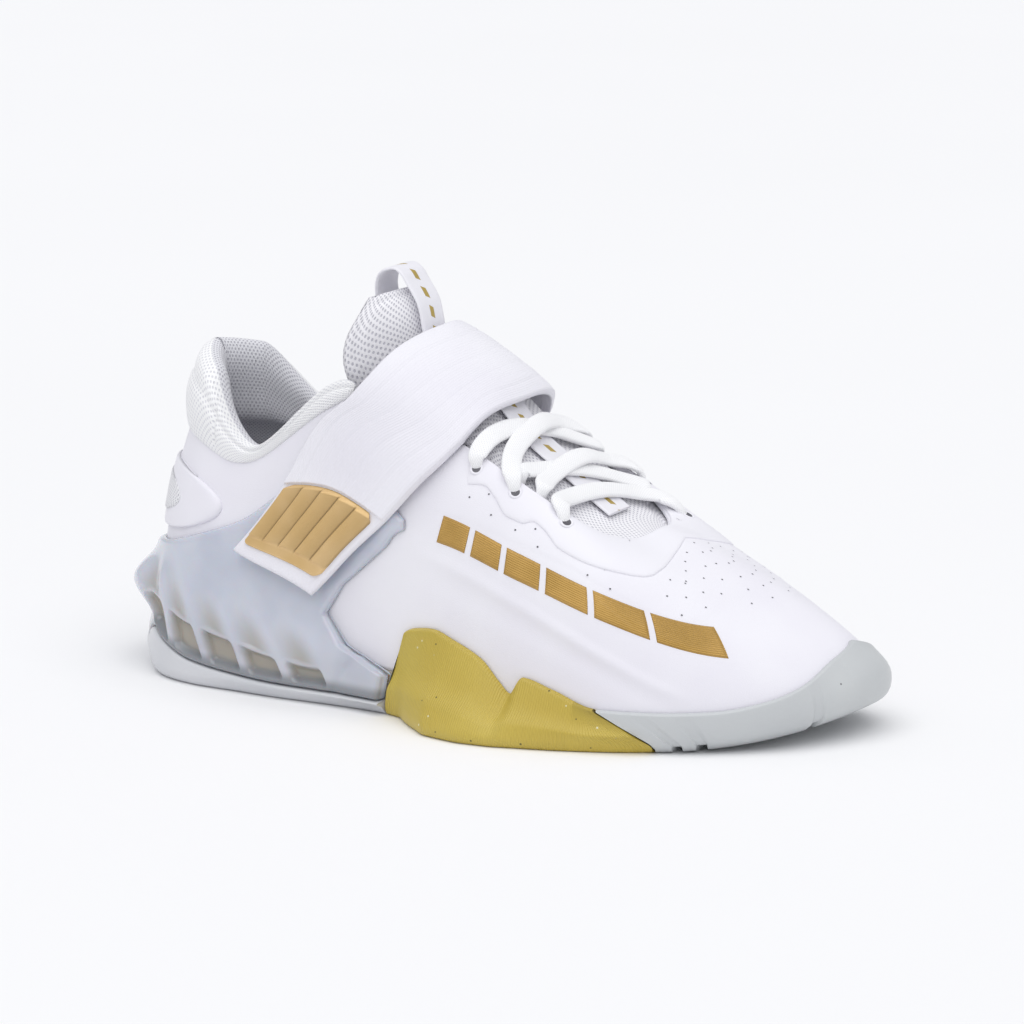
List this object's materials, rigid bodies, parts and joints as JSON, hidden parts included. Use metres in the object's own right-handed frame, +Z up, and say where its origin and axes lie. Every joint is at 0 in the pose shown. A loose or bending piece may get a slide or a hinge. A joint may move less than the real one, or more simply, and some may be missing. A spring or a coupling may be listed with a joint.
{
  "type": "weightlifting shoe",
  "caption": "Low-cut weightlifting shoe with a raised hard heel, a caged heel, an instep strap with a moulded tab, and a laced hollow upper.",
  "frame": {"origin": "on the floor, under the middle of the shoe's box", "axes": "+X towards the toe, +Y towards the inner (medial) side, +Z up from the floor"},
  "size_m": [0.301, 0.1208, 0.1593],
  "materials": {
    "upper_white": "smooth white coated textile",
    "knit_white": "padded mesh knit",
    "webbing_white": "fine ribbed webbing",
    "lace_white": "flat woven lace",
    "tab_gold": "moulded, satin gold",
    "cage_clear": "milky translucent, satin",
    "foam_tan": "hard foam",
    "rubber_grey": "light grey, speckled, satin",
    "rubber_yellow": "mustard, speckled"
  },
  "bodies": {
    "root": {"upper": "upper_white", "collar_pad": "knit_white", "tongue": "knit_white", "pull_loop": "webbing_white", "eyestay": "upper_white", "heel_counter": "upper_white", "strap": "webbing_white", "strap_grip": "tab_gold", "lace_bar": "lace_white", "lace_cross_lower": "lace_white", "lace_cross_upper": "lace_white", "heel_cage": "cage_clear", "midsole": "foam_tan", "insole": "knit_white", "outsole_forefoot": "rubber_grey", "outsole_midfoot": "rubber_yellow", "outsole_heel": "rubber_grey"}
  },
  "joints": []
}
